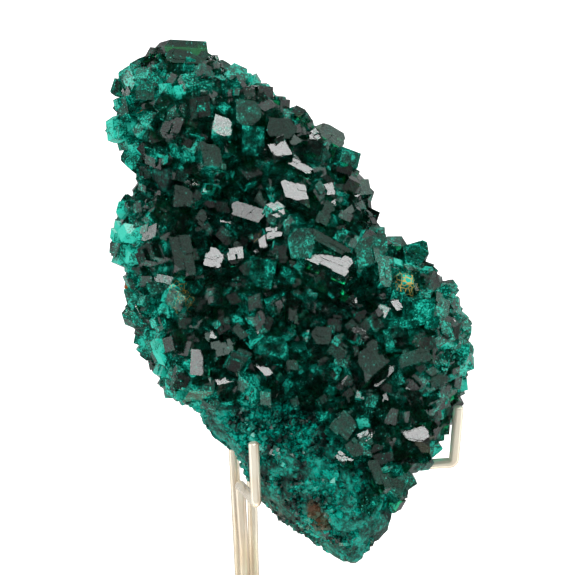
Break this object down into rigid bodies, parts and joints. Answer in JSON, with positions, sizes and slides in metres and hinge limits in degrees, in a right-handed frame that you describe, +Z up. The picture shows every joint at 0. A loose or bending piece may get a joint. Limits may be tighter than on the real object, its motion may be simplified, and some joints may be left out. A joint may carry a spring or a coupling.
{
  "type": "dioptase specimen on stand",
  "caption": "Rough dioptase: a leaning plate of rock covered with blocky green crystals, held upright by bent brass wires in a round foot.",
  "frame": {"origin": "centre of the foot's flat underside", "axes": "+Z up; -Y towards the side that the crystals face; +X to the right as the specimen is looked at"},
  "size_m": [0.0804, 0.068, 0.1307],
  "materials": {
    "dioptase": "see-through blue-green crystals with flat bright faces, on granular green rock",
    "brass_wire": "pale polished drawn wire",
    "brass_foot": "pale, turned and satin"
  },
  "bodies": {
    "root": {"dioptase_specimen": "dioptase", "left_hook_wire": "brass_wire", "right_hook_wire": "brass_wire", "back_rest_wire": "brass_wire", "foot": "brass_foot"}
  },
  "joints": []
}
